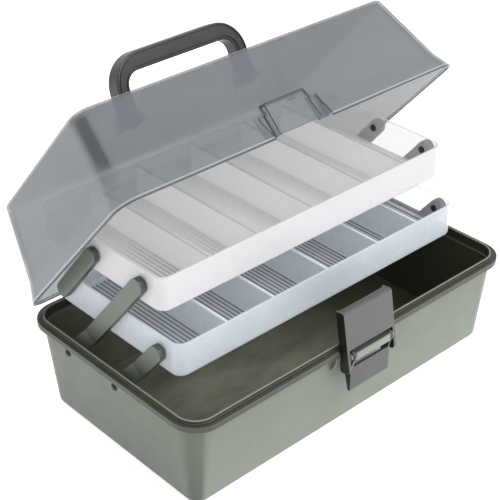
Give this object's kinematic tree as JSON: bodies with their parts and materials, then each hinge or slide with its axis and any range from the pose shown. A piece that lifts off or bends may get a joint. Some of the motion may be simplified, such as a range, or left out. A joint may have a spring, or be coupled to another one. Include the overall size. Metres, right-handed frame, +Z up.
{
  "type": "fishing tackle box",
  "caption": "Open cantilever tackle box with a clear hinged lid, folding carry handle, stacked divided trays on swinging arms and a draw latch.",
  "frame": {"origin": "centre of the base's underside, on the surface the box stands on", "axes": "+X along the box to its right as seen from the latch side, +Y from the latch to the hinges, +Z up"},
  "size_m": [0.351, 0.2583, 0.2754],
  "materials": {
    "base_plastic": "moulded olive-grey polypropylene, fine texture",
    "bar_plastic": "pale green-grey moulded plastic",
    "steel_pin": "drawn steel pin",
    "arm_rivet": "moulded plastic rivet",
    "tray_rivet": "black plastic rivet",
    "lid_plastic": "smoke-grey clear plastic",
    "handle_plastic": "dark grey moulded plastic",
    "lower_tray_plastic": "bluish clear plastic",
    "upper_tray_plastic": "milky clear plastic",
    "latch_plastic": "dark grey moulded plastic",
    "arm_plastic": "olive-grey moulded plastic"
  },
  "bodies": {
    "base": {"base_shell": "base_plastic", "latch_bar": "bar_plastic", "lid_hinge_pins": "steel_pin", "base_arm_rivets": "arm_rivet"},
    "lid": {"lid_shell": "lid_plastic", "lid_catch": "lid_plastic", "handle_pins": "steel_pin"},
    "handle": {"handle": "handle_plastic"},
    "front_arms": {"front_arm_left": "arm_plastic", "front_arm_right": "arm_plastic"},
    "long_arms": {"long_arm_left": "arm_plastic", "long_arm_right": "arm_plastic"},
    "lower_tray": {"lower_tray": "lower_tray_plastic", "lower_tray_rivets": "tray_rivet"},
    "rear_arms": {"rear_arm_left": "arm_plastic", "rear_arm_right": "arm_plastic"},
    "upper_tray": {"upper_tray": "upper_tray_plastic", "upper_tray_rivets": "tray_rivet"},
    "latch_lever": {"latch_lever": "latch_plastic", "latch_claw_pins": "steel_pin"},
    "latch_claw": {"latch_claw": "latch_plastic"}
  },
  "joints": [
    {"name": "lid_hinge", "type": "hinge", "parent": "base", "child": "lid", "pos_m": [0, 0.104, 0.0845], "axis": [-1, 0, 0], "range_deg": [-49, 50]},
    {"name": "handle_pivot", "type": "hinge", "parent": "lid", "child": "handle", "pos_m": [0, 0.10383, 0.21288], "axis": [-1, 0, 0], "range_deg": [-61, 111]},
    {"name": "front_arm_pivot", "type": "hinge", "parent": "base", "child": "front_arms", "pos_m": [0, -0.004, 0.067], "axis": [-1, 0, 0], "range_deg": [-22.1, 22.6]},
    {"name": "long_arm_pivot", "type": "hinge", "parent": "base", "child": "long_arms", "pos_m": [0, 0.054, 0.067], "axis": [-1, 0, 0], "range_deg": [-22.1, 22.6]},
    {"name": "lower_tray_pivot", "type": "hinge", "parent": "front_arms", "child": "lower_tray", "pos_m": [0, -0.03924, 0.11052], "axis": [-1, 0, 0], "range_deg": [-22.6, 22.1]},
    {"name": "rear_arm_pivot", "type": "hinge", "parent": "lower_tray", "child": "rear_arms", "pos_m": [0, 0.07376, 0.11052], "axis": [-1, 0, 0], "range_deg": [-22.1, 22.6]},
    {"name": "upper_tray_pivot", "type": "hinge", "parent": "long_arms", "child": "upper_tray", "pos_m": [0, -0.02108, 0.15971], "axis": [-1, 0, 0], "range_deg": [-22.6, 22.1]},
    {"name": "latch_lever_pivot", "type": "hinge", "parent": "base", "child": "latch_lever", "pos_m": [0, -0.106, 0.0765], "axis": [-1, 0, 0], "range_deg": [0, 100]},
    {"name": "latch_claw_pivot", "type": "hinge", "parent": "latch_lever", "child": "latch_claw", "pos_m": [0, -0.1026, 0.065], "axis": [-1, 0, 0], "range_deg": [-121, 0]}
  ],
  "couplings": [
    {"joint": "front_arm_pivot", "follows": "lid_hinge", "ratio": 0.449},
    {"joint": "long_arm_pivot", "follows": "lid_hinge", "ratio": 0.449},
    {"joint": "lower_tray_pivot", "follows": "lid_hinge", "ratio": -0.449},
    {"joint": "rear_arm_pivot", "follows": "lid_hinge", "ratio": 0.449},
    {"joint": "upper_tray_pivot", "follows": "lid_hinge", "ratio": -0.449},
    {"joint": "latch_claw_pivot", "follows": "latch_lever_pivot", "ratio": -1.2}
  ]
}
